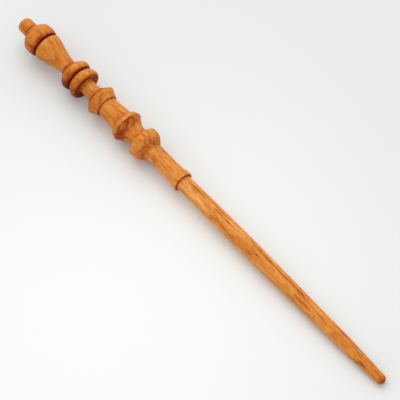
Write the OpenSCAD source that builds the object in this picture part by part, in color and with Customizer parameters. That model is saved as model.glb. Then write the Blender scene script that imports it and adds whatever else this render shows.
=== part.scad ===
// Turned hardwood magic wand: nine separately turned pieces, joined end to end by
// round tenons glued into blind drilled mortises. The axis lies along +X with the tip at +X,
// and the origin is on the axis at the middle of the grip. All sizes are in millimetres.

/* [Overall] */
// Length from butt to tip
wand_length = 357; // [330:1:400]
// Radius of each small broken edge
edge = 0.5; // [0.3:0.1:0.6]

/* [Butt button] */
// Diameter of the button at the very end
button_d = 10.5; // [9.6:0.1:11.4]
// Length of the button that stands out of the pommel
button_len = 8.5; // [8:0.1:11]
// Length of the rounding at the button's end
button_round = 3.2; // [2:0.1:3.6]
// Diameter of the small flat that the rounding leaves
button_end_d = 6.3; // [5:0.1:7.5]

/* [Pommel knob] */
// Largest diameter of the pommel knob
pommel_d = 22.1; // [21:0.1:24]
// Length of the pommel knob
pommel_len = 14.1; // [12:0.1:15]
// Diameter of the knob's front rim
pommel_rim_d = 19.8; // [19:0.1:20.6]

/* [Bulb] */
// Largest diameter of the bulb
bulb_d = 19.8; // [19:0.1:21]
// Diameter of the bulb's slim end
bulb_tail_d = 10.8; // [10:0.1:12]
// Length of the bulb
bulb_len = 22.8; // [21:0.1:28]

/* [Rings] */
// Diameter of the rear ring
rear_ring_d = 22; // [21:0.1:24]
// Width of the rear ring
rear_ring_w = 10.2; // [9:0.1:12]
// Diameter of the front ring
front_ring_d = 22.3; // [21:0.1:24]
// Width of the front ring at the neck
front_ring_w = 5.8; // [5.2:0.1:8]
// Diameter of the front ring's rim, where its dished front face starts
front_rim_d = 19.4; // [18.6:0.1:20.4]
// Depth of that dish
front_dish = 0.8; // [0.5:0.1:1.2]
// Width of the deep groove between pommel and bulb
pommel_groove_w = 1.9; // [1.5:0.1:3]
// Width of the deep groove between the rings
ring_groove_w = 1.6; // [1.2:0.1:2.5]
// Diameter at the bottom of both grooves
groove_d = 14; // [12:0.5:15]

/* [Neck and collar] */
// Diameter of the slim neck that a rest holds
neck_d = 10.6; // [9.8:0.1:11.5]
// Length from the front ring's face to the collar's edge
neck_len = 15.1; // [14:0.1:18]
// Length of the flare that rises from the neck to the collar's edge
collar_flare_len = 8.2; // [7:0.1:10]
// Diameter of the collar's sharp edge
collar_d = 22; // [20:0.1:24]
// Length of the taper in front of that edge
collar_taper_len = 6.2; // [5.5:0.1:8]
// Diameter where the taper ends
collar_front_d = 16.3; // [15.5:0.1:17.5]

/* [Barrel and cup] */
// Diameter of the barrel behind
barrel_d = 14.4; // [13.5:0.1:15]
// Diameter of the barrel where the cup starts
barrel_front_d = 16.3; // [15.2:0.1:17]
// Length of the barrel
barrel_len = 15.2; // [12:0.1:18]
// Diameter of the cup's lip
cup_d = 22.5; // [21:0.1:24]
// Length of the flare behind the lip
cup_flare_len = 4.1; // [3.8:0.1:6]
// Width of the lip
cup_lip_w = 2.1; // [1.8:0.1:3.5]
// Length of the cove in front of the lip
cove_len = 8.5; // [6.5:0.1:10]
// Diameter of the waist between cup and front knob
waist_d = 13.9; // [13:0.1:15]
// Length of that waist
waist_len = 2.1; // [1.5:0.1:4]

/* [Front knob and grip] */
// Largest diameter of the front knob
front_knob_d = 22.7; // [21:0.1:24]
// Length of the front knob
front_knob_len = 15.1; // [14:0.1:18]
// Diameter of the grip behind its waist
grip_d = 12.6; // [11.8:0.1:13.2]
// Length of the grip
grip_len = 21.8; // [20:0.1:40]
// Diameter of the collar at the front of the grip
grip_collar_d = 14.5; // [14:0.1:16]
// Length of that collar with its flare
grip_collar_len = 8.1; // [7.5:0.1:10]

/* [Shaft] */
// Diameter of the shaft where it leaves the grip
shaft_root_d = 11.1; // [10:0.1:11.6]
// Diameter at the swell, a quarter of the way along
shaft_swell_d = 11.65; // [11:0.05:12]
// Diameter where the last taper starts
shaft_slim_d = 9.35; // [9:0.05:10]
// Diameter just behind the tip's dome
tip_d = 6.9; // [6:0.1:8.5]
// Length of the domed tip
tip_dome = 3.6; // [2.5:0.1:4.5]

/* [Joints] */
// Diameter of the two slim tenons that hold the button and the rings
pin_d = 6; // [5:0.1:6.4]
// Diameter of the two tenons of the cup barrel
core_d = 8; // [7:0.1:8.5]
// Diameter of the shaft's tenon
shaft_tenon_d = 7; // [6:0.1:7.5]
// Radial gap left for glue around every tenon
glue_gap = 0.05; // [0.03:0.01:0.1]

/* [Hidden] */
$fn = 96;

curve_steps = 14;        // straight bands along each curve
drill_point = 31;        // degrees, slope of a drilled hole's conical bottom
end_room = 0.6;          // length left free past each tenon for glue
tenon_chamfer = 0.6;
mouth_chamfer = 0.4;

button_tenon_in = 8;     // how far each tenon goes into the piece that holds it
neck_tenon_in = 9;
barrel_tenon_len = 7.5;
cup_tenon_len = 12;
shaft_tenon_len = 22;

// Where each piece starts along the axis, from the butt to the tip
handle_to_grip = button_len + pommel_len + pommel_groove_w + bulb_len + rear_ring_w + ring_groove_w
    + front_ring_w + neck_len + collar_taper_len + barrel_len + cup_flare_len + cup_lip_w + cove_len
    + waist_len + front_knob_len;
x_butt = -(handle_to_grip + grip_len / 2);
x_pommel = x_butt + button_len;
x_pommel_rim = x_pommel + pommel_len;
x_bulb = x_pommel_rim + pommel_groove_w;
x_rear_ring = x_bulb + bulb_len;
x_ring_rim = x_rear_ring + rear_ring_w;
x_front_ring = x_ring_rim + ring_groove_w;
x_neck = x_front_ring + front_ring_w;
x_collar = x_neck + neck_len;
x_barrel = x_collar + collar_taper_len;
x_cup = x_barrel + barrel_len;
x_lip = x_cup + cup_flare_len;
x_cove = x_lip + cup_lip_w;
x_waist = x_cove + cove_len;
x_front_knob = x_waist + waist_len;
x_grip = x_front_knob + front_knob_len;
x_grip_collar = x_grip + grip_len;
x_shaft = x_grip_collar + grip_collar_len;
x_tip = x_butt + wand_length;

// Every outline is a list of [position along the axis, radius] pairs.

// Cubic curve from a to d with handles b and c
function curve(a, b, c, d) =
    [for (i = [0 : curve_steps]) let (t = i / curve_steps)
        a * (1 - t) ^ 3 + 3 * b * t * (1 - t) ^ 2 + 3 * c * t ^ 2 * (1 - t) + d * t ^ 3];

// Curve that leaves a and reaches b along the axis, with handles of those lengths
function sweep(a, b, leave, arrive) = curve(a, [a[0] + leave, a[1]], [b[0] - arrive, b[1]], b);

// Quarter of an ellipse about a centre, from angle a0 to angle a1
function quarter(centre, along, out, a0, a1) =
    [for (i = [0 : curve_steps]) let (a = a0 + (a1 - a0) * i / curve_steps)
        [centre[0] + along * cos(a), centre[1] + out * sin(a)]];

// Solid turned about the X axis from an outline that starts and ends on the axis
module turned(outline) {
    rotate([0, 90, 0])
        rotate_extrude()
            polygon([for (p = outline) [p[1], p[0]]]);
}

// Round hole from x0 to x1, a through hole
module bore(x0, x1, d) {
    translate([x0 - 1, 0, 0])
        rotate([0, 90, 0])
            cylinder(d = d + 2 * glue_gap, h = x1 - x0 + 2);
}

// Blind mortise with a drilled bottom and a chamfered mouth. side is +1 when it opens
// towards the tip and -1 when it opens towards the butt.
module mortise(mouth, depth, d, side) {
    r = d / 2 + glue_gap;
    wide = r + mouth_chamfer;
    floor_x = mouth - side * (depth + end_room);
    turned([[mouth + side, 0], [mouth + side, wide], [mouth, wide], [mouth - side * mouth_chamfer, r],
            [floor_x, r], [floor_x - side * r * tan(drill_point), 0]]);
}

// Outline of a tenon that points to the butt, from its end to its shoulder
function rear_tenon(x0, x1, d) =
    [[x0, 0], [x0, d / 2 - tenon_chamfer], [x0 + tenon_chamfer, d / 2], [x1, d / 2]];

// Outline of a tenon that points to the tip, from its shoulder to its end
function front_tenon(x0, x1, d) =
    [[x0, d / 2], [x1 - tenon_chamfer, d / 2], [x1, d / 2 - tenon_chamfer], [x1, 0]];

// Finial at the butt, with a long tenon that pins the pommel knob to the bulb
module butt_button() {
    r = button_d / 2;
    end_r = button_end_d / 2;
    color("peru")
        turned(concat(
            [[x_butt, 0]],
            quarter([x_butt + button_round, end_r], button_round, r - end_r, 180, 90),
            [[x_pommel, r]],
            front_tenon(x_pommel, x_pommel_rim + button_tenon_in, pin_d)));
}

// Round knob behind the bulb, bored right through for the button's tenon
module pommel_knob() {
    r = pommel_d / 2;
    crown = [x_pommel + 0.56 * pommel_len, r - 0.15];
    rim = [x_pommel_rim, pommel_rim_d / 2];
    color("chocolate")
        difference() {
            turned(concat(
                [[x_pommel, 0]],
                sweep([x_pommel, button_d / 2], crown, 1.6, 4.2),
                curve(crown, crown + [0.17 * pommel_len, 0.25], rim + [-0.06 * pommel_len, 0.9], rim),
                [[x_pommel_rim, 0]]));
            bore(x_pommel, x_pommel_rim, pin_d);
        }
}

// Baluster bulb, with the short spigot that forms the pommel groove's bottom
module bulb() {
    r = bulb_d / 2;
    color("peru")
        difference() {
            turned(concat(
                [[x_pommel_rim, 0], [x_pommel_rim, groove_d / 2], [x_bulb, groove_d / 2]],
                quarter([x_bulb + 2 * edge, r - edge], 2 * edge, edge, 180, 90),
                sweep([x_bulb + 2 * edge, r], [x_rear_ring, bulb_tail_d / 2], 0.12 * bulb_len,
                      0.26 * bulb_len),
                [[x_rear_ring, 0]]));
            mortise(x_pommel_rim, button_tenon_in, pin_d, -1);
            mortise(x_rear_ring, neck_tenon_in, pin_d, 1);
        }
}

// Rear ring of the pair, bored for the neck's tenon, with the ring groove's bottom in front
module rear_ring() {
    crown = [x_rear_ring + 0.68 * rear_ring_w, rear_ring_d / 2];
    rim = [x_ring_rim, 0.87 * crown[1]];
    color("chocolate")
        difference() {
            turned(concat(
                [[x_rear_ring, 0]],
                sweep([x_rear_ring, bulb_tail_d / 2], crown, 1.6, 3.4),
                curve(crown, crown + [0.17 * rear_ring_w, 0], rim + [-0.04 * rear_ring_w, 0.9], rim),
                [[x_ring_rim, groove_d / 2], [x_front_ring, groove_d / 2], [x_front_ring, 0]]));
            bore(x_rear_ring, x_front_ring, pin_d);
        }
}

// Front ring of the pair, a bead with a steep, dished front face
module front_ring() {
    crown = [x_front_ring + 0.71 * front_ring_w, front_ring_d / 2];
    rim = [x_front_ring, 0.85 * crown[1]];
    front_rim = [x_neck + front_dish, front_rim_d / 2];
    color("peru")
        difference() {
            turned(concat(
                [[x_front_ring, 0]],
                curve(rim, rim + [0.19 * front_ring_w, 0.6], crown - [0.27 * front_ring_w, 0], crown),
                curve(crown, crown + [0.27 * front_ring_w, 0], front_rim + [-0.1, 0.7], front_rim),
                curve(front_rim, front_rim - [0.4, 1], [x_neck, neck_d / 2 + 2.2], [x_neck, neck_d / 2]),
                [[x_neck, 0]]));
            bore(x_front_ring, x_neck, pin_d);
        }
}

// Neck and sharp-edged collar. The long tenon behind threads both rings and enters the bulb.
module neck_collar() {
    collar_edge = [x_collar, collar_d / 2];
    flare = [x_collar - collar_flare_len, neck_d / 2];
    color("chocolate")
        difference() {
            turned(concat(
                rear_tenon(x_rear_ring - neck_tenon_in, x_neck, pin_d),
                [[x_neck, neck_d / 2]],
                curve(flare, flare + [0.42 * collar_flare_len, 0],
                      collar_edge - [0.36 * collar_flare_len, 3], collar_edge),
                [[x_barrel, collar_front_d / 2], [x_barrel, 0]]));
            mortise(x_barrel, barrel_tenon_len, core_d, 1);
        }
}

// Barrel that opens into a cup-shaped lip, with a tenon at each end
module cup_barrel() {
    lip = [x_cove - edge, cup_d / 2];
    color("peru")
        turned(concat(
            rear_tenon(x_barrel - barrel_tenon_len, x_barrel, core_d),
            curve([x_barrel, barrel_d / 2], [x_barrel + 0.34 * barrel_len, barrel_d / 2],
                  [x_cup - 0.3 * barrel_len, barrel_front_d / 2 - 0.45], [x_cup, barrel_front_d / 2]),
            sweep([x_cup, barrel_front_d / 2], [x_lip, cup_d / 2 - 0.4], 2.2, 1.9),
            [lip],
            quarter(lip - [0, edge], edge, edge, 90, 0),
            curve([x_cove, lip[1] - 0.8 * edge], [x_cove + 0.29 * cove_len, 0.82 * lip[1]],
                  [x_waist - 0.37 * cove_len, waist_d / 2], [x_waist, waist_d / 2]),
            [[x_front_knob, waist_d / 2]],
            front_tenon(x_front_knob, x_front_knob + cup_tenon_len, core_d)));
}

// Front knob, grip and the small collar that the shaft enters, with a mortise at each end
module knob_grip() {
    r = front_knob_d / 2;
    crown_x = x_front_knob + 0.31 * front_knob_len;
    collar_r = grip_collar_d / 2;
    collar_x = x_shaft - 0.33 * grip_collar_len;
    color("chocolate")
        difference() {
            turned(concat(
                [[x_front_knob, 0]],
                sweep([x_front_knob, waist_d / 2], [crown_x, r], 2.6, 1.9),
                curve([crown_x + 0.05 * front_knob_len, r], [x_grip - 0.32 * front_knob_len, r],
                      [x_grip - 0.27 * front_knob_len, 0.8 * r], [x_grip, grip_d / 2]),
                curve([x_grip, grip_d / 2], [x_grip + 0.3 * grip_len, grip_d / 2 - 0.05],
                      [x_grip_collar - 0.28 * grip_len, grip_d / 2 - 0.2], [x_grip_collar, grip_d / 2]),
                sweep([x_grip_collar, grip_d / 2], [collar_x, collar_r], 2.5, 2.2),
                quarter([x_shaft - edge, collar_r - edge], edge, edge, 90, 0),
                [[x_shaft, 0]]));
            mortise(x_front_knob, cup_tenon_len, core_d, -1);
            mortise(x_shaft, shaft_tenon_len, shaft_tenon_d, 1);
        }
}

// Long shaft: a slight swell, a slow taper and a domed tip
module shaft() {
    length = x_tip - x_shaft;
    swell = [x_shaft + 0.25 * length, shaft_swell_d / 2];
    slim = [x_shaft + 0.79 * length, shaft_slim_d / 2];
    nose = [x_tip - tip_dome, tip_d / 2];
    color("peru")
        turned(concat(
            rear_tenon(x_shaft - shaft_tenon_len, x_shaft, shaft_tenon_d),
            sweep([x_shaft, shaft_root_d / 2], swell, 0.09 * length, 0.1 * length),
            curve(swell, swell + [0.17 * length, 0], slim + [-0.19 * length, 0.2], slim),
            curve(slim, slim + [0.07 * length, -0.1], nose + [-0.05 * length, 0.25], nose),
            quarter([nose[0], 0], tip_dome, nose[1], 90, 0)));
}

butt_button();
pommel_knob();
bulb();
rear_ring();
front_ring();
neck_collar();
cup_barrel();
knob_grip();
shaft();
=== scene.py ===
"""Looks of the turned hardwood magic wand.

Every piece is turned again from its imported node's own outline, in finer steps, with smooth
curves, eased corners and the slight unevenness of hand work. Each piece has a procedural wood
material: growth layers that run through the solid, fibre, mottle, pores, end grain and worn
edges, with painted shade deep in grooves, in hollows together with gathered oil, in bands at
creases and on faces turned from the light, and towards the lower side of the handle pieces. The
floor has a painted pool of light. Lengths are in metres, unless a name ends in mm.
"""

import math
from typing import NamedTuple

import bmesh
import bpy
import numpy as np
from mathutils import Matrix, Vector
from mathutils.kdtree import KDTree


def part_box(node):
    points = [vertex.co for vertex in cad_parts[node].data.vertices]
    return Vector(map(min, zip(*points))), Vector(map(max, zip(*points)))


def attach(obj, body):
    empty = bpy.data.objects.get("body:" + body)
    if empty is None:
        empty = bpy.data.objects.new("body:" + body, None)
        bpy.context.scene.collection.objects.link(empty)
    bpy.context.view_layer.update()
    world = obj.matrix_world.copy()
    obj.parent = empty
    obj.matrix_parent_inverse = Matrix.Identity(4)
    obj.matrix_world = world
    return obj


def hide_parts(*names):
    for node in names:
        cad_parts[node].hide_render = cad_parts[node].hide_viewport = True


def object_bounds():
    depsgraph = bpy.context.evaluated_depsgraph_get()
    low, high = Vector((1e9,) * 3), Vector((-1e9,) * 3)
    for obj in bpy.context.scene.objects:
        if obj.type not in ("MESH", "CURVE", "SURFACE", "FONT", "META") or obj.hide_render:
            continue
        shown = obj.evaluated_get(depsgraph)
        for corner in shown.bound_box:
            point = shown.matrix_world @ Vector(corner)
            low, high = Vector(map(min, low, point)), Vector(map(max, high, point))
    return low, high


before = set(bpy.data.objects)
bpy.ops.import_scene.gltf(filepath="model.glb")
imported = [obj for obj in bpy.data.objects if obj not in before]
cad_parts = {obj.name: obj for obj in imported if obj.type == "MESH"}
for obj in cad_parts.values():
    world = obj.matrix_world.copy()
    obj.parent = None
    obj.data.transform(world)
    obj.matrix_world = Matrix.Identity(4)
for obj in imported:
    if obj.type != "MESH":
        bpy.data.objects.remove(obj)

MM = 0.001
SEED = 7

cad_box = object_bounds()


# ---------------------------------------------------------------- camera

CAMERA_AZIMUTH = 49.31
CAMERA_ELEVATION = 58.99
CAMERA_DISTANCE = 2.581
CAMERA_TARGET = Vector((0.0361, -0.00044, -0.00017))
LENS_MM = 360.0
SENSOR_MM = 36.0


def make_camera():
    """The camera, far off with a long lens."""
    azimuth, elevation = math.radians(CAMERA_AZIMUTH), math.radians(CAMERA_ELEVATION)
    back = Vector((math.sin(azimuth) * math.cos(elevation),
                   -math.cos(azimuth) * math.cos(elevation),
                   math.sin(elevation)))
    data = bpy.data.cameras.new("camera")
    data.lens, data.sensor_width = LENS_MM, SENSOR_MM
    data.clip_start, data.clip_end = 0.05, 20.0
    data.dof.use_dof = False
    camera = bpy.data.objects.new("camera", data)
    camera.rotation_mode = "QUATERNION"
    camera.location = CAMERA_TARGET + back * CAMERA_DISTANCE
    camera.rotation_quaternion = (-back).to_track_quat("-Z", "Y")
    bpy.context.scene.collection.objects.link(camera)
    bpy.context.scene.camera = camera


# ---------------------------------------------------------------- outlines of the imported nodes

RING_GAP = 2e-6  # vertices closer than this belong to one ring
CORNER = math.radians(22)  # a sharper bend than this in a packed outline is a real corner
LONG_RATIO = 3.0  # a segment this many times its neighbour is a straight one


def clusters(values):
    """A number for each value, the same for values that lie close together."""
    order = np.argsort(values, kind="stable")
    ids = np.empty(len(values), int)
    ids[order] = np.cumsum(np.r_[0, np.diff(values[order]) > RING_GAP])
    return ids


def linked_rings(mesh):
    """Each ring of vertices about the X axis as [x, radius], and the rings it has edges to."""
    co = np.empty(len(mesh.vertices) * 3)
    mesh.vertices.foreach_get("co", co)
    co = co.reshape(-1, 3)
    x, r = co[:, 0], np.hypot(co[:, 1], co[:, 2])
    ring, count = np.empty(len(x), int), 0
    by_x = clusters(x)
    for i in range(by_x.max() + 1):
        here = np.nonzero(by_x == i)[0]
        ids = clusters(r[here])
        ring[here] = count + ids
        count += ids.max() + 1
    centre = np.array([[x[ring == k].mean(), r[ring == k].mean()] for k in range(count)])
    edges = np.empty(len(mesh.edges) * 2, int)
    mesh.edges.foreach_get("vertices", edges)
    pairs = {tuple(sorted(pair)) for pair in ring[edges].reshape(-1, 2) if pair[0] != pair[1]}
    links = {k: [] for k in range(count)}
    for a, b in sorted(pairs):
        links[a].append(b)
        links[b].append(a)
    return centre, links


def packed_outline(node):
    """The outline that a node was turned from, as [x, radius] rows, and whether it is closed."""
    centre, links = linked_rings(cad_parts[node].data)
    ends = [k for k in links if len(links[k]) == 1]
    path = [min(ends or links, key=lambda k: (centre[k][0], centre[k][1]))]
    while True:
        onward = [k for k in links[path[-1]] if k not in path]
        if not onward:
            break
        path.append(min(onward, key=lambda k: centre[k][0]) if len(path) == 1 else onward[0])
    points = centre[path]
    if ends:  # a flat end has no vertex on the axis, so the outline is taken there
        if points[0, 1] > RING_GAP:
            points = np.vstack([(points[0, 0], 0.0), points])
        if points[-1, 1] > RING_GAP:
            points = np.vstack([points, (points[-1, 0], 0.0)])
    following = np.roll(points, -1, 0)
    area = (points[:, 0] * following[:, 1] - following[:, 0] * points[:, 1]).sum()
    return (points[::-1] if area > 0 else points), not ends


def bends(points):
    """The turn, in radians, at each point between the first and the last."""
    step = np.diff(points, axis=0)
    heading = np.arctan2(step[:, 1], step[:, 0])
    return np.abs((np.diff(heading) + math.pi) % (2 * math.pi) - math.pi)


def smooth_run(points, fine):
    """A smooth curve through a run of outline points, in steps of about fine."""
    step = np.diff(points, axis=0)
    length = np.hypot(step[:, 0], step[:, 1])
    along = step / length[:, None]
    if len(points) == 2:
        tangents = np.array([along[0], along[0]])
    else:
        inner = []
        for i in range(1, len(points) - 1):
            before, after = length[i - 1], length[i]
            if after > LONG_RATIO * before:
                inner.append(along[i])
            elif before > LONG_RATIO * after:
                inner.append(along[i - 1])
            else:
                inner.append((along[i - 1] * after + along[i] * before) / (before + after))
        inner = np.array(inner)
        tangents = np.vstack([1.5 * along[0] - 0.5 * inner[0], inner,
                              1.5 * along[-1] - 0.5 * inner[-1]])
    rows = []
    for i, (a, b) in enumerate(zip(points, points[1:])):
        t = np.linspace(0, 1, max(2, math.ceil(length[i] / fine) + 1))[:-1, None]
        rows.append((2 * t**3 - 3 * t**2 + 1) * a + (3 * t**2 - 2 * t**3) * b
                    + (t**3 - 2 * t**2 + t) * length[i] * tangents[i]
                    + (t**3 - t**2) * length[i] * tangents[i + 1])
    return np.vstack([*rows, points[-1:]])


def cut_ends(run, start, end):
    """A run of points without the first and last bit of its length."""
    at = np.r_[0, np.cumsum(np.hypot(*np.diff(run, axis=0).T))]
    first = np.array([np.interp(start, at, run[:, k]) for k in (0, 1)])
    last = np.array([np.interp(at[-1] - end, at, run[:, k]) for k in (0, 1)])
    keep = (at > start + 1e-9) & (at < at[-1] - end - 1e-9)
    return np.vstack([first, run[keep], last])


def run_length(run):
    """The length of a run of points."""
    return np.hypot(*np.diff(run, axis=0).T).sum()


EASE = 0.16 * MM  # how far an exposed corner is eased along each side
EASE_AT_JOINT = 0.045 * MM
EASE_STEPS = 8
FINE = 0.04 * MM


def fine_outline(points, closed, exposed):
    """The outline in fine steps, smooth along its curves and with its corners eased.

    exposed(x, radius) says whether a corner is a free edge of the whole wand.
    """
    if closed:
        turn = bends(np.vstack([points[-1:], points, points[:1]]))
        first = int(np.argmax(turn > CORNER))
        points = np.roll(points, -first, 0)
        points = np.vstack([points, points[:1]])
    turn = bends(points)
    corners = [0, *(np.nonzero(turn > CORNER)[0] + 1), len(points) - 1]
    runs = [smooth_run(points[a:b + 1], FINE) for a, b in zip(corners, corners[1:])]
    count = len(runs)
    cut = np.zeros((count, 2))  # how much goes from each run's start and end
    for i in range(count):
        j = (i + 1) % count
        if j == 0 and not closed:
            continue
        x, r = runs[i][-1]
        wish = EASE if exposed(x, r) else EASE_AT_JOINT
        wish = min(wish, 0.4 * run_length(runs[i]), 0.4 * run_length(runs[j]))
        cut[i][1] = cut[j][0] = wish
    trimmed = [cut_ends(run, *cut[i]) for i, run in enumerate(runs)]
    rows = []
    t = np.linspace(0, 1, EASE_STEPS + 1)[1:-1, None]
    for i in range(count):
        j = (i + 1) % count
        rows.append(trimmed[i])
        if j or closed:
            a, corner, b = trimmed[i][-1], runs[i][-1], trimmed[j][0]
            rows.append(a * (1 - t) ** 2 + 2 * corner * t * (1 - t) + b * t**2)
    return np.vstack(rows)


MAX_TURN = math.radians(9)
OUTER_STEP, OUTER_SEGMENTS = 0.36 * MM, 128  # along the outline and about the axis
SHAFT_STEP, SHAFT_SEGMENTS = 0.9 * MM, 96
INNER_STEP = 1.6 * MM
INNER_RADIUS = 4.2 * MM  # tenons and mortises lie inside this, and so do the two ends
BUTT_END, TIP_END = 1 * MM, 12 * MM  # lengths at the two ends that have the fine step all over


def thinned(rows, closed, step_at):
    """The fine outline with only the points that its bends and the wanted steps need."""
    heading = np.unwrap(np.arctan2(*np.diff(rows, axis=0).T[::-1]))
    length = np.hypot(*np.diff(rows, axis=0).T)
    kept, gone, start = [0], 0.0, heading[0]
    for i in range(1, len(rows) - 1):
        gone += length[i - 1]
        if gone >= step_at(*rows[i]) or abs(heading[i] - start) > MAX_TURN:
            kept.append(i)
            gone, start = 0.0, heading[i]
    if not closed:
        kept.append(len(rows) - 1)
    return rows[kept]


# ---------------------------------------------------------------- the whole wand's outline

NODES = list(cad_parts)
PACKED = {node: packed_outline(node) for node in NODES}
BUTT_X, TIP_X = cad_box[0].x, cad_box[1].x
SHAFT_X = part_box("knob_grip")[1].x  # where the shaft leaves the grip
GRID = 0.02 * MM  # spacing of the places at which the outline is known
EXPOSED_SLACK = 0.03 * MM  # how far below its neighbours a corner still counts as a free edge
DISC_POINTS = 240


def skyline(points, closed, xs):
    """The largest radius of one node's outline at each of xs, or 0 where it has none."""
    rows = np.vstack([points, points[:1]]) if closed else points
    out = np.zeros(len(xs))
    for (xa, ra), (xb, rb) in zip(rows, rows[1:]):
        if abs(xb - xa) < 1e-9:
            continue
        if xa > xb:
            xa, ra, xb, rb = xb, rb, xa, ra
        here = slice(np.searchsorted(xs, xa), np.searchsorted(xs, xb, "right"))
        out[here] = np.maximum(out[here], ra + (rb - ra) * (xs[here] - xa) / (xb - xa))
    return out


GRID_X = np.arange(BUTT_X + GRID / 2, TIP_X, GRID)
GRID_R = np.max([skyline(*PACKED[node], GRID_X) for node in NODES], axis=0)


def radius_at(x):
    """The wand's outer radius at x, or 0 beyond its ends."""
    i = np.round((np.asarray(x) - GRID_X[0]) / GRID).astype(int)
    inside = (i >= 0) & (i < len(GRID_R))
    return np.where(inside, GRID_R[np.clip(i, 0, len(GRID_R) - 1)], 0.0)


def exposed(x, r):
    """True where a corner at [x, r] is as far out as anything beside it."""
    near = radius_at(x + np.array([-3, -2, 2, 3]) * GRID).max()
    return r > near - EXPOSED_SLACK


def solid_share(points, reach):
    """For each [x, radius] row, the share of a disc of radius reach about it that is wood.

    It is 0.5 on a flat surface, less on an edge and more in a corner or a groove.
    """
    k = np.arange(DISC_POINTS) + 0.5
    rho, angle = reach * np.sqrt(k / DISC_POINTS), k * math.pi * (3 - math.sqrt(5))
    x = points[:, :1] + rho * np.cos(angle)
    r = np.abs(points[:, 1:] + rho * np.sin(angle))
    return (r < radius_at(x)).mean(1)


def smoothstep(value, low, high):
    t = np.clip((value - low) / (high - low), 0, 1)
    return t * t * (3 - 2 * t)


SANDING_RADIUS = 1.2 * MM  # a folded edge of abrasive goes no deeper into a groove than this ball
SANDING_STEP = 0.1 * MM  # how finely the ball's places are searched
SANDING_REACH = 15  # steps to either side in which the wand may hold the ball up
SANDING_LAYER = 2 * SANDING_STEP  # how far off the wand a place still counts as touching


def search_tree(points):
    """A search tree of [x, radius] rows."""
    tree = KDTree(len(points))
    for i, (x, r) in enumerate(points):
        tree.insert((x, r, 0.0), i)
    tree.balance()
    return tree


def sanding_places():
    """A search tree of the places beside the wand where the middle of the ball fits."""
    outline = []
    for points, closed in PACKED.values():
        rows = np.vstack([points, points[:1]]) if closed else points
        for a, b in zip(rows, rows[1:]):
            share = np.linspace(0, 1, math.ceil(np.hypot(*(b - a)) / SANDING_STEP) + 1)[:, None]
            outline.append(a + (b - a) * share)
    outline = search_tree(np.vstack(outline))
    places = []
    beside = np.arange(-SANDING_REACH, SANDING_REACH + 1) * SANDING_STEP
    for x in np.arange(BUTT_X - 2 * SANDING_RADIUS, TIP_X + 2 * SANDING_RADIUS, SANDING_STEP):
        low = radius_at(x)
        high = radius_at(x + beside).max() + SANDING_RADIUS
        for r in np.arange(low, high + SANDING_LAYER + SANDING_STEP, SANDING_STEP):
            away = outline.find((x, r, 0.0))[2]
            if SANDING_RADIUS <= away < SANDING_RADIUS + SANDING_LAYER:
                places.append((x, r))
    return search_tree(places)


SANDING_PLACES = sanding_places()
GROOVE_SHADE_MM = (0.26, 1.0)  # depths below the sanding where the painted groove shade starts and where it is full
HOLLOW_REACH, HOLLOW_SHARE = 3.0 * MM, (0.50, 0.64)
EDGE_REACH, EDGE_SHARE = 0.7 * MM, (-0.44, -0.30)  # shares below zero: less wood, more wear
UNDERCUT = 0.05 * MM  # a face this far inside the whole wand's outline is an undercut one
UNDERCUT_HOLLOW = 0.35  # share of the hollows' oil and painted shade that such a face gets


def groove_depth(points):
    """How far each [x, radius] row lies from the nearest place that sanding reaches."""
    return np.array([SANDING_PLACES.find((x, r, 0.0))[2] for x, r in points]) - SANDING_RADIUS


def surface_marks(points):
    """How much painted shade lies deep in grooves, how much oil and painted shade gather in
    hollows, and how worn the surface is at each outline point, from 0 to 1.
    """
    # painted shade deep in grooves and inner corners, fuller the deeper the place
    groove_shade = smoothstep(groove_depth(points) / MM, *GROOVE_SHADE_MM)
    # painted shade in hollows, together with gathered oil
    hollow_oil_and_shade = smoothstep(solid_share(points, HOLLOW_REACH), *HOLLOW_SHARE)
    around = radius_at(points[:, :1] + np.array([-3, 0, 3]) * GRID).min(1)
    # undercut faces, such as the front ring's dish, get part of the painted shade and oil of the
    # hollows
    hollow_oil_and_shade[points[:, 1] < around - UNDERCUT] = UNDERCUT_HOLLOW
    wear = smoothstep(-solid_share(points, EDGE_REACH), *EDGE_SHARE)
    return groove_shade, hollow_oil_and_shade, wear


# ---------------------------------------------------------------- turning

random = np.random.default_rng(SEED)
SHAFT_WAVES = [(wave * MM, size, random.uniform(0, 2 * math.pi))
               for wave, size in ((61, 0.0055), (37, 0.0045), (19, 0.0030), (11, 0.0012))]
HANDLE_WAVES = [(wave * MM, size, random.uniform(0, 2 * math.pi))
                for wave, size in ((47, 0.0020), (13, 0.0010))]
OVAL = 0.0035  # seasoned wood is a little oval, narrower across the growth layers
OVAL_AT = random.uniform(0, math.pi)
OVAL_DRIFT, DRIFT_WAVE = 0.6, 150 * MM  # the oval turns to and fro along the wand
FADE = 30 * MM  # from the handle's unevenness to the shaft's


def unevenness(x, angle):
    """How much the radius grows at x and angle, as a share. Neighbouring pieces share it."""
    on_shaft = smoothstep(x, SHAFT_X, SHAFT_X + FADE)
    grow = np.zeros(len(x))
    for wave, size, phase in SHAFT_WAVES:
        grow += on_shaft * size * np.sin(2 * math.pi * x / wave + phase)
    for wave, size, phase in HANDLE_WAVES:
        grow += (1 - on_shaft) * size * np.sin(2 * math.pi * x / wave + phase)
    drift = OVAL_DRIFT * np.sin(2 * math.pi * x / DRIFT_WAVE)
    return grow[:, None] + OVAL * np.cos(2 * (angle[None, :] - OVAL_AT + drift[:, None]))


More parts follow.
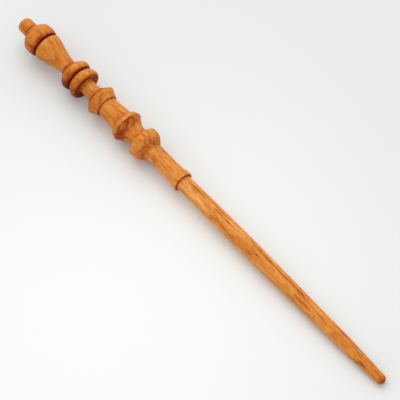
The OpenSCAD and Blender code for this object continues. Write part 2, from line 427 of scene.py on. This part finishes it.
def turned_faces(first, closed, segments):
    """The faces between each ring of vertices and the next.

    first holds the index of each ring's first vertex, and the number of vertices. A ring of one
    vertex lies on the axis.
    """
    faces = []
    count = len(first) - 1
    for i in range(count if closed else count - 1):
        j = (i + 1) % count
        a, b = first[i], first[j]
        one_a, one_b = first[i + 1] - a == 1, first[j + 1] - b == 1
        for k in range(segments):
            m = (k + 1) % segments
            if one_a:
                faces.append((a, b + m, b + k))
            elif one_b:
                faces.append((a + k, a + m, b))
            else:
                faces.append((a + k, a + m, b + m, b + k))
    return faces


def turn_piece(node, segments, step):
    """A new mesh object for a node, turned from its outline."""
    points, closed = PACKED[node]

    def step_at(x, r):
        inside = r < INNER_RADIUS and BUTT_X + BUTT_END < x < TIP_X - TIP_END
        return INNER_STEP if inside else step

    rows = thinned(fine_outline(points, closed, exposed), closed, step_at)
    groove_shade, hollow_oil_and_shade, wear = surface_marks(rows)
    angle = np.arange(segments) * 2 * math.pi / segments
    share = 1 + unevenness(rows[:, 0], angle)
    radius = rows[:, 1:] * share
    co, first, marks = [], [], []
    for i, (x, r) in enumerate(rows):
        first.append(len(co))
        if r < 1e-6:
            co.append((x, 0.0, 0.0))
            marks.append((groove_shade[i], hollow_oil_and_shade[i], wear[i]))
        else:
            co += [(x, radius[i, k] * math.cos(a), radius[i, k] * math.sin(a))
                   for k, a in enumerate(angle)]
            marks += [(groove_shade[i], hollow_oil_and_shade[i], wear[i])] * segments
    first.append(len(co))
    mesh = bpy.data.meshes.new(node + "_turned")
    mesh.from_pydata(co, [], turned_faces(first, closed, segments))
    marks = np.array(marks, np.float32)
    for k, name in enumerate(("groove_shade", "hollow_oil_and_shade", "wear")):
        mesh.attributes.new(name, "FLOAT", "POINT").data.foreach_set("value", marks[:, k])
    work = bmesh.new()
    work.from_mesh(mesh)
    bmesh.ops.recalc_face_normals(work, faces=work.faces)
    work.to_mesh(mesh)
    work.free()
    mesh.polygons.foreach_set("use_smooth", [True] * len(mesh.polygons))
    mesh.update()
    piece = bpy.data.objects.new(node + "_turned", mesh)
    bpy.context.scene.collection.objects.link(piece)
    return piece


# ---------------------------------------------------------------- node graphs

class Graph:
    """Short calls that build one material's nodes. A value may be a number or a socket."""

    def __init__(self, name):
        self.material = bpy.data.materials.new(name)
        self.material.use_nodes = True
        self.tree = self.material.node_tree
        self.tree.nodes.clear()

    def put(self, socket, value):
        if isinstance(value, bpy.types.NodeSocket):
            self.tree.links.new(value, socket)
        else:
            socket.default_value = value

    def node(self, kind, **inputs):
        made = self.tree.nodes.new("ShaderNode" + kind)
        for name, value in inputs.items():
            self.put(made.inputs[name.replace("_", " ")], value)
        return made

    def math(self, operation, *values):
        made = self.tree.nodes.new("ShaderNodeMath")
        made.operation = operation
        for socket, value in zip(made.inputs, values):
            self.put(socket, value)
        return made.outputs[0]

    def add(self, *values):
        total = values[0]
        for value in values[1:]:
            total = self.math("ADD", total, value)
        return total

    def times(self, *values):
        total = values[0]
        for value in values[1:]:
            total = self.math("MULTIPLY", total, value)
        return total

    def vector(self, operation, *values):
        made = self.tree.nodes.new("ShaderNodeVectorMath")
        made.operation = operation
        for socket, value in zip(made.inputs, values):
            self.put(socket, value)
        return made.outputs["Value" if operation in ("DOT_PRODUCT", "LENGTH") else "Vector"]

    def join(self, x, y, z):
        return self.node("CombineXYZ", X=x, Y=y, Z=z).outputs[0]

    def noise(self, vector, detail=2.0, roughness=0.5, distortion=0.0):
        """Smooth noise from 0 to 1, one bump per unit of vector."""
        made = self.node("TexNoise", Vector=vector, Scale=1.0, Detail=detail,
                         Roughness=roughness, Distortion=distortion)
        return made.outputs[0]

    def signed(self, value):
        """A 0 to 1 value as -1 to 1."""
        return self.math("MULTIPLY_ADD", value, 2.0, -1.0)

    def smooth(self, value, low, high):
        made = self.node("MapRange", Value=value, From_Min=low, From_Max=high)
        made.interpolation_type = "SMOOTHSTEP"
        return made.outputs[0]

    def attribute(self, name):
        made = self.tree.nodes.new("ShaderNodeAttribute")
        made.attribute_name = name
        return made.outputs["Fac"]

    def ramp(self, value, stops):
        made = self.node("ValToRGB", Fac=value)
        elements = made.color_ramp.elements
        while len(elements) < len(stops):
            elements.new(0.5)
        for element, (at, colour) in zip(elements, stops):
            element.position, element.color = at, (*colour, 1.0)
        return made.outputs[0]

    def mix(self, factor, a, b, blend="MIX"):
        made = self.tree.nodes.new("ShaderNodeMix")
        made.data_type, made.blend_type = "RGBA", blend
        self.put(made.inputs[0], factor)
        for socket, value in ((made.inputs[6], a), (made.inputs[7], b)):
            self.put(socket, value if isinstance(value, bpy.types.NodeSocket) else (*value, 1.0))
        return made.outputs[2]


def srgb(red, green, blue):
    """A colour given in screen values from 0 to 255, as linear values."""
    return tuple((v / 255 / 12.92) if v <= 10.3 else ((v / 255 + 0.055) / 1.055) ** 2.4
                 for v in (red, green, blue))


# ---------------------------------------------------------------- wood

PITH_MM = 60.0  # distance from the wand's axis to the middle of the tree
WANDER_MM, RIPPLE_MM = 2.2, 0.32  # how far the growth layers stray
WOOD_STOPS = (
    (0.00, srgb(104, 38, 4)),
    (0.22, srgb(162, 78, 16)),
    (0.45, srgb(198, 115, 38)),
    (0.65, srgb(215, 138, 60)),
    (0.85, srgb(228, 159, 84)),
    (1.00, srgb(238, 177, 108)),
)
END_GRAIN = srgb(200, 136, 96)  # multiplies the colour where the fibres end
BAND_SHADE_COLOUR = srgb(206, 142, 102)  # multiplies the colour in the bands of painted shade
HOLLOW_OIL_AND_SHADE = srgb(205, 150, 100)  # multiplies the colour in hollows: gathered oil and painted shade
# painted shade deep in grooves and inner corners
GROOVE_SHADE_COLOUR = srgb(150, 62, 14)
WORN = srgb(236, 172, 100)
HOLLOW_OIL_AND_SHADE_STRENGTH, WEARING = 0.38, 0.08  # strength where the marks are full

# How much each thing adds to the shade, which picks a colour from WOOD_STOPS
PLAIN_SHADE = 0.66
OWN_SHADE, LATE_SHADE, LINE_SHADE = 0.07, -0.07, -0.16
FIBRE_SHADE, STRAND_SHADE, PORE_SHADE = 0.24, 0.34, -0.40
MOTTLE_SHADE, FLAME_SHADE, CLOUD_SHADE = 0.28, 0.18, 0.12

SPECKLE_SCALE = (0.40, 0.24, 0.24)  # per mm along X, Y and Z
BASE_ROUGHNESS = 0.46
TOOL_MARK_SCALE = 2.6  # marks per mm along X, which run almost all the way round
BUMP_STRENGTH, BUMP_HEIGHT = 0.35, 0.06 * MM
OIL_IOR, OIL_SPECULAR = 1.5, 0.12


class Noise(NamedTuple):
    """A noise that is stretched along the grain."""

    along: float  # size in mm along the grain
    across: float  # and across it
    slant: float = 0.0  # how far it leans to the side per mm along
    detail: float = 2.0
    roughness: float = 0.5
    distortion: float = 0.0
    move: float = 0.0  # taken from another place, where two noises would look alike


NOISES = {
    "wander": Noise(70, 26),
    "ripple": Noise(11, 5.5, slant=0.12),
    "line": Noise(15, 5),
    "fibre": Noise(10, 0.5, slant=0.02, detail=3.0, roughness=0.62),
    "strand": Noise(22, 1.1, slant=0.03, roughness=0.55),
    "mottle": Noise(6.0, 2.1, slant=0.30, detail=3.0, roughness=0.6, distortion=0.4),
    "flame": Noise(10, 3.2, slant=-0.22, distortion=0.6, move=40.0),
    "cloud": Noise(34, 7.0, detail=1.0),
    "pore_place": Noise(13, 3.4, detail=1.0),
    "pore": Noise(3.4, 0.3, slant=0.02, detail=1.0),
    "wiggle": Noise(9, 40),
    "breaks": Noise(6, 50),
}


class WoodGraph(Graph):
    """A wood material's nodes, which know the place in mm along X and across the layers."""

    def __init__(self, name, layer_angle, place):
        super().__init__(name)
        coords = self.node("TexCoord")
        self.normal = coords.outputs["Normal"]
        self.point = self.vector("MULTIPLY", coords.outputs["Object"], (1 / MM,) * 3)
        self.x, self.y, self.z = self.node("SeparateXYZ", Vector=self.point).outputs
        a = math.radians(layer_angle)
        self.out = self.vector("DOT_PRODUCT", self.point, (0, -math.sin(a), math.cos(a)))
        self.side = self.vector("DOT_PRODUCT", self.point, (0, math.cos(a), math.sin(a)))
        self.place = place

    def grained(self, name):
        """One of NOISES, from 0 to 1."""
        kind = NOISES[name]
        side = self.math("MULTIPLY_ADD", self.x, kind.slant, self.side)
        place = self.join(
            self.math("MULTIPLY_ADD", self.x, 1 / kind.along, self.place + kind.move),
            self.times(side, 1 / kind.across), self.times(self.out, 1 / kind.across))
        return self.noise(place, kind.detail, kind.roughness, kind.distortion)

    def uneven(self, name):
        """One of NOISES, from -1 to 1."""
        return self.signed(self.grained(name))

    def band(self, first, full, last_full, last):
        """A mask that rises from first to full along X and falls from last_full to last."""
        return self.times(self.smooth(self.x, first, full),
                          self.math("SUBTRACT", 1.0, self.smooth(self.x, last_full, last)))


def growth_layers(g, layer_mm, layer_at, run_out):
    """How much each place is late wood, and its layer's own shade from -1 to 1.

    The layers are shells about the pith, which wander slowly along the grain.
    """
    shell = g.math("SQRT", g.add(g.times(g.side, g.side),
                                 g.math("POWER", g.math("ADD", g.out, PITH_MM), 2.0)))
    depth = g.add(shell, g.times(g.x, run_out), g.times(g.uneven("wander"), WANDER_MM),
                  g.times(g.uneven("ripple"), RIPPLE_MM), layer_at - PITH_MM)
    phase = g.times(depth, 1 / layer_mm)
    saw = g.math("FRACT", phase)
    late = g.times(g.smooth(saw, 0.25, 0.90), g.math("SUBTRACT", 1.0, g.smooth(saw, 0.92, 1.0)))
    own = g.tree.nodes.new("ShaderNodeTexWhiteNoise")
    own.noise_dimensions = "1D"
    g.put(own.inputs["W"], g.add(g.math("FLOOR", phase), g.place))
    return late, g.signed(own.outputs["Value"])


def grain_line(g, first, last, first_angle, last_angle, width):
    """The mask of a line whose angle about X, from +Z towards -Y, changes evenly along it."""
    turn = g.math("ARCTAN2", g.times(g.y, -1.0), g.z)
    climb = math.radians(last_angle - first_angle) / (last - first)
    wanted = g.math("MULTIPLY_ADD", g.x, climb, math.radians(first_angle) - climb * first)
    radius = g.math("SQRT", g.add(g.times(g.y, g.y), g.times(g.z, g.z)))
    wiggle = g.times(g.uneven("wiggle"), 0.35)
    off = g.math("ABSOLUTE", g.add(g.times(g.math("SUBTRACT", turn, wanted), radius), wiggle))
    fade = min(8.0, 0.3 * (last - first))
    broken = g.smooth(g.grained("breaks"), 0.26, 0.44)
    return g.times(g.math("SUBTRACT", 1.0, g.smooth(off, width * 0.3, width)),
                   g.band(first, first + fade, last - fade, last), broken)


def pore_mask(g, late):
    """Pores lie in patches and in late wood."""
    patch = g.smooth(g.grained("pore_place"), 0.40, 0.70)
    return g.times(g.smooth(g.grained("pore"), 0.64, 0.72),
                   g.add(g.times(patch, 0.8), g.times(late, 0.35)))


def oiled_and_hollow_shaded(g, colour, end, hollow_oil_and_shade, speckle):
    """Fibre ends soak up oil, most of all in hollows. Hollows get darker still, with
    gathered oil and painted shade.
    """
    soak = g.times(end, g.math("MULTIPLY_ADD", hollow_oil_and_shade, 0.35, 0.65),
                   g.math("MULTIPLY_ADD", speckle, 1.1, 0.5))
    colour = g.mix(soak, colour, END_GRAIN, "MULTIPLY")
    return g.mix(g.times(hollow_oil_and_shade, HOLLOW_OIL_AND_SHADE_STRENGTH), colour, HOLLOW_OIL_AND_SHADE, "MULTIPLY")


def painted_shade_bands(g, colour, shade_bands, speckle):
    """Bands about the wand with patchy painted shade, in creases and on faces turned from
    the light.
    """
    # patchy, and stronger towards -Y and down
    patchy_shade = g.add(g.times(g.signed(speckle), 1.6), g.times(g.side, -0.03), 0.82)
    for *ends, power in shade_bands:
        band_shade = g.smooth(g.times(g.band(*ends), patchy_shade, power), 0.0, 1.0)
        colour = g.mix(band_shade, colour, BAND_SHADE_COLOUR, "MULTIPLY")
    return colour


def tooled_bump(g, fibre, pores, late):
    """Fine marks of the turning tool, with fibre, pores and the hard late wood."""
    tool = g.noise(g.join(g.times(g.x, TOOL_MARK_SCALE), g.times(g.side, 0.05),
                          g.times(g.out, 0.05)), 3.0, 0.6)
    height = g.add(g.times(tool, 0.55), g.times(fibre, 0.12), g.times(pores, -0.5),
                   g.times(late, 0.10))
    bump = g.node("Bump", Strength=BUMP_STRENGTH, Distance=BUMP_HEIGHT, Height=height)
    return bump.outputs[0]


def wood(name, layer_angle, layer_mm, layer_at, run_out, tone, painted_side_shade, figure, grain, place,
         fall=0.0, shade_bands=(), streaks=()):
    """Oiled hardwood.

    layer_angle is the growth layers' normal, in degrees about X from +Z towards -Y; layer_mm
    their spacing; layer_at moves them; run_out is how much the grain climbs along X. tone
    lightens. The side shading, the argument after tone, is painted shade across the blank: how
    much the shade gains per mm towards +Y and up, so that the side towards -Y and down is darker.
    fall is how much the shade loses per mm along X. figure is the strength of the mottle, grain
    that of the fibres, and place moves every noise. The shade bands, the argument after fall, are
    bands of patchy painted shade about the wand, in creases and on faces turned from the light:
    (first x, full x, last full x, last x, strength). streaks are dark grain lines: (first x,
    last x, first angle, last angle, width in mm, strength).
    """
    g = WoodGraph(name, layer_angle, place)
    late, own = growth_layers(g, layer_mm, layer_at, run_out)
    line_power = g.smooth(g.grained("line"), 0.40, 0.66)
    fibre, strand, mottle, flame, cloud = (
        g.uneven(kind) for kind in ("fibre", "strand", "mottle", "flame", "cloud"))
    pores = pore_mask(g, late)
    shade = g.add(
        PLAIN_SHADE + tone,
        # painted shade across the blank: lighter towards +Y and up, darker towards -Y and down
        g.times(g.side, painted_side_shade), g.times(g.x, -fall),
        g.times(own, OWN_SHADE),
        g.times(late, g.add(g.times(line_power, LINE_SHADE), LATE_SHADE)),
        g.times(fibre, FIBRE_SHADE), g.times(strand, STRAND_SHADE * grain),
        g.times(mottle, MOTTLE_SHADE * figure), g.times(flame, FLAME_SHADE * figure),
        g.times(cloud, CLOUD_SHADE),
        g.times(pores, PORE_SHADE),
    )
    for *course, power in streaks:
        shade = g.add(shade, g.times(grain_line(g, *course), -power))

    hollow_oil_and_shade, groove_shade, wear = (g.attribute(mark) for mark in ("hollow_oil_and_shade", "groove_shade", "wear"))
    along = g.node("SeparateXYZ", Vector=g.normal).outputs[0]
    end = g.smooth(g.math("ABSOLUTE", along), 0.45, 0.92)
    speckle = g.noise(g.vector("MULTIPLY", g.point, SPECKLE_SCALE), 4.0, 0.62)
    colour = g.ramp(shade, WOOD_STOPS)
    # end grain soaks up oil; hollows get gathered oil and painted shade
    colour = oiled_and_hollow_shaded(g, colour, end, hollow_oil_and_shade, speckle)
    # bands of painted shade in creases and on faces turned from the light
    colour = painted_shade_bands(g, colour, shade_bands, speckle)
    # painted shade deep in grooves and inner corners
    colour = g.mix(g.times(groove_shade, g.math("MULTIPLY_ADD", cloud, 0.2, 0.9)), colour, GROOVE_SHADE_COLOUR)
    colour = g.mix(g.times(wear, WEARING), colour, WORN)
    rough = g.add(BASE_ROUGHNESS, g.times(strand, 0.05), g.times(mottle, 0.04),
                  g.times(end, 0.10), g.times(groove_shade, 0.20), g.times(wear, -0.05),
                  g.times(pores, 0.15))
    shader = g.node("BsdfPrincipled", Base_Color=colour, Roughness=rough,
                    Normal=tooled_bump(g, fibre, pores, late))
    shader.inputs["IOR"].default_value = OIL_IOR
    shader.inputs["Specular IOR Level"].default_value = OIL_SPECULAR
    g.put(g.node("OutputMaterial").inputs["Surface"], shader.outputs[0])
    return g.material


# Each piece's wood. The layers face a little differently from piece to piece.
# The side shading and the shade bands of each piece below are painted shade: darker towards -Y and
# down, in creases and on faces turned from the light.
WOODS = {
    "butt_button": dict(layer_angle=34, layer_mm=2.6, layer_at=0.4, run_out=0.010, tone=-0.13,
                        painted_side_shade=0.008, figure=0.8, grain=0.6, place=3.1,
                        shade_bands=((-138.0, -136.0, -135.0, -134.0, 0.35),)),
    "pommel_knob": dict(layer_angle=32, layer_mm=2.5, layer_at=1.1, run_out=0.008, tone=-0.20,
                        painted_side_shade=0.009, figure=0.6, grain=0.4, place=11.7,
                        shade_bands=((-136.0, -135.6, -134.8, -133.2, 0.65),
                                (-125.4, -122.0, -120.0, -119.0, 0.9))),
    "bulb": dict(layer_angle=38, layer_mm=2.9, layer_at=0.2, run_out=0.012, tone=-0.11,
                 painted_side_shade=0.008, figure=0.6, grain=0.4, place=23.3),
    "rear_ring": dict(layer_angle=30, layer_mm=2.5, layer_at=0.9, run_out=0.0, tone=-0.28,
                      painted_side_shade=0.023, figure=0.7, grain=0.5, place=31.9,
                      shade_bands=((-90.2, -87.2, -86.0, -85.0, 0.7),)),
    "front_ring": dict(layer_angle=36, layer_mm=2.6, layer_at=1.6, run_out=0.010, tone=-0.27,
                       painted_side_shade=0.022, figure=0.8, grain=0.5, place=43.4),
    "neck_collar": dict(layer_angle=40, layer_mm=2.7, layer_at=0.5, run_out=0.015, tone=-0.10,
                        painted_side_shade=0.011, figure=0.9, grain=0.6, place=52.2,
                        shade_bands=((-68.4, -66.6, -65.0, -64.3, 0.8),)),
    "cup_barrel": dict(layer_angle=38, layer_mm=2.7, layer_at=1.9, run_out=0.012, tone=-0.10,
                       painted_side_shade=0.004, figure=0.8, grain=0.7, place=61.8,
                       shade_bands=((-36.75, -36.5, -33.6, -28.5, 0.95),)),
    "knob_grip": dict(layer_angle=44, layer_mm=2.5, layer_at=0.8, run_out=0.010, tone=-0.01,
                      painted_side_shade=0.0, figure=1.0, grain=0.6, place=74.6,
                      shade_bands=((-16.2, -13.2, -12.2, -11.2, 0.6), (-10.6, -9.8, -5.0, 4.0, 0.45))),
    "shaft": dict(layer_angle=37, layer_mm=2.7, layer_at=1.12, run_out=-0.023, tone=0.15,
                  painted_side_shade=0.0, figure=1.1, grain=0.8, place=88.5, fall=0.0014,
                  shade_bands=((209.0, 211.5, 214.0, 215.0, 0.7),),
                  streaks=((20.5, 42, -18, -5, 0.5, 0.62), (48, 58.5, -5, -3, 0.5, 0.60),
                           (59, 70, -1, 0, 0.5, 0.60), (28, 62, -28, -14, 0.4, 0.25),
                           (86, 140, -18, -12, 1.4, 0.30), (91.5, 97, 20, 21, 0.45, 0.75),
                           (50, 54, 13, 14, 0.4, 0.35), (127, 147, 40, 30, 2.2, 0.24),
                           (165, 174, 38, 38, 2.0, 0.15))),
}


def make_pieces():
    """One turned and finished piece for each node."""
    for node in NODES:
        if node == "shaft":
            piece = turn_piece(node, SHAFT_SEGMENTS, SHAFT_STEP)
        else:
            piece = turn_piece(node, OUTER_SEGMENTS, OUTER_STEP)
        piece.data.materials.append(wood(node + "_wood", **WOODS[node]))
        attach(piece, "root")
        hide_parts(node)


# ---------------------------------------------------------------- floor and light

# The floor has a painted pool of light: the first colour in its middle, the second, dimmer one away
# from it.
FLOOR_IN_LIGHT_POOL = srgb(235, 237, 236)
FLOOR_SHADE = srgb(217, 219, 218)
LIGHT_POOL_CENTRE = Vector((0.07, -0.11, 0.0))  # centre of the pool of light painted on the floor
LIGHT_POOL_INNER, LIGHT_POOL_OUTER = 0.02, 0.29
FLOOR_SIZE = 12.0
FLOOR_GRAIN = 900.0  # bumps per metre
BALANCE_STEP = 25  # every this many grid places is tried as the wand's rear support


def resting_line():
    """The floor's height below the axis and its slope, where the wand rests on its own.

    The wand touches a flat floor at two rings, on either side of its balance point.
    """
    area = GRID_R**2
    balance = (GRID_X * area).sum() / area.sum()
    behind, ahead = GRID_X < balance, GRID_X > balance
    best = None
    for i in np.nonzero(behind)[0][::BALANCE_STEP]:
        slopes = (GRID_R[i] - GRID_R[ahead]) / (GRID_X[ahead] - GRID_X[i])
        slope = slopes.min()  # the line from ring i that clears every ring ahead
        height = GRID_R[i] + slope * (GRID_X[i] - balance)
        if best is None or height > best[0]:
            best = (height, slope)
    return balance, best[0], best[1]


def make_floor():
    """A plain pale floor that the wand rests on, with a pool of light painted on it."""
    balance, height, slope = resting_line()
    tilt = math.atan(slope)
    half = FLOOR_SIZE / 2
    mesh = bpy.data.meshes.new("floor")
    mesh.from_pydata([(sx * half, sy * half, 0) for sx, sy in ((-1, -1), (1, -1), (1, 1), (-1, 1))],
                     [], [(0, 1, 2, 3)])
    floor = bpy.data.objects.new("floor", mesh)
    floor.location = (balance, 0, -height)
    floor.rotation_euler = (0, -tilt, 0)
    bpy.context.scene.collection.objects.link(floor)
    g = Graph("floor_painted_light_pool")
    coords = g.node("TexCoord").outputs["Object"]
    # the painted pool of light, brightest at its centre
    light_pool_offset = g.vector("SUBTRACT", coords, tuple(LIGHT_POOL_CENTRE - Vector((balance, 0.0, 0.0))))
    away = g.smooth(g.vector("LENGTH", light_pool_offset), LIGHT_POOL_INNER, LIGHT_POOL_OUTER)
    grain = g.noise(g.vector("MULTIPLY", coords, (FLOOR_GRAIN,) * 3), 2.0)
    colour = g.mix(away, FLOOR_IN_LIGHT_POOL, FLOOR_SHADE)
    bump = g.node("Bump", Strength=0.05, Distance=0.0001, Height=grain)
    shader = g.node("BsdfPrincipled", Base_Color=colour, Roughness=0.8, Normal=bump.outputs[0])
    g.put(g.node("OutputMaterial").inputs["Surface"], shader.outputs[0])
    mesh.materials.append(g.material)


def softbox(name, direction, distance, size, watts):
    """A square area light that shines at the camera's target from that direction."""
    data = bpy.data.lights.new(name, "AREA")
    data.shape, data.size, data.energy = "SQUARE", size, watts
    light = bpy.data.objects.new(name, data)
    direction = Vector(direction).normalized()
    light.location = CAMERA_TARGET + direction * distance
    light.rotation_mode = "QUATERNION"
    light.rotation_quaternion = (-direction).to_track_quat("-Z", "Y")
    bpy.context.scene.collection.objects.link(light)


KEY_DIRECTION = (-0.55, 0.22, 0.85)
KEY_DISTANCE, KEY_SIZE, KEY_WATTS = 1.5, 1.3, 6.2
WORLD_COLOUR = (0.985, 0.990, 0.990)
WORLD_STRENGTH = 0.80
WORLD_LEAN = Vector((-0.48, 0.0, 0.36))  # the room is brighter on the butt's side and above


def make_light():
    """Soft studio light: one large softbox and a pale room that is brighter on one side."""
    world = bpy.data.worlds.new("studio")
    world.use_nodes = True
    nodes, links = world.node_tree.nodes, world.node_tree.links
    back = nodes["Background"]
    back.inputs["Color"].default_value = (*WORLD_COLOUR, 1.0)
    towards = nodes.new("ShaderNodeTexCoord").outputs["Generated"]
    dot = nodes.new("ShaderNodeVectorMath")
    dot.operation = "DOT_PRODUCT"
    dot.inputs[1].default_value = WORLD_LEAN * WORLD_STRENGTH
    links.new(towards, dot.inputs[0])
    strength = nodes.new("ShaderNodeMath")
    strength.inputs[1].default_value = WORLD_STRENGTH
    links.new(dot.outputs["Value"], strength.inputs[0])
    links.new(strength.outputs[0], back.inputs["Strength"])
    bpy.context.scene.world = world
    softbox("key", KEY_DIRECTION, KEY_DISTANCE, KEY_SIZE, KEY_WATTS)
    bpy.context.scene.view_settings.view_transform = "Standard"


make_camera()
make_pieces()
make_floor()
make_light()
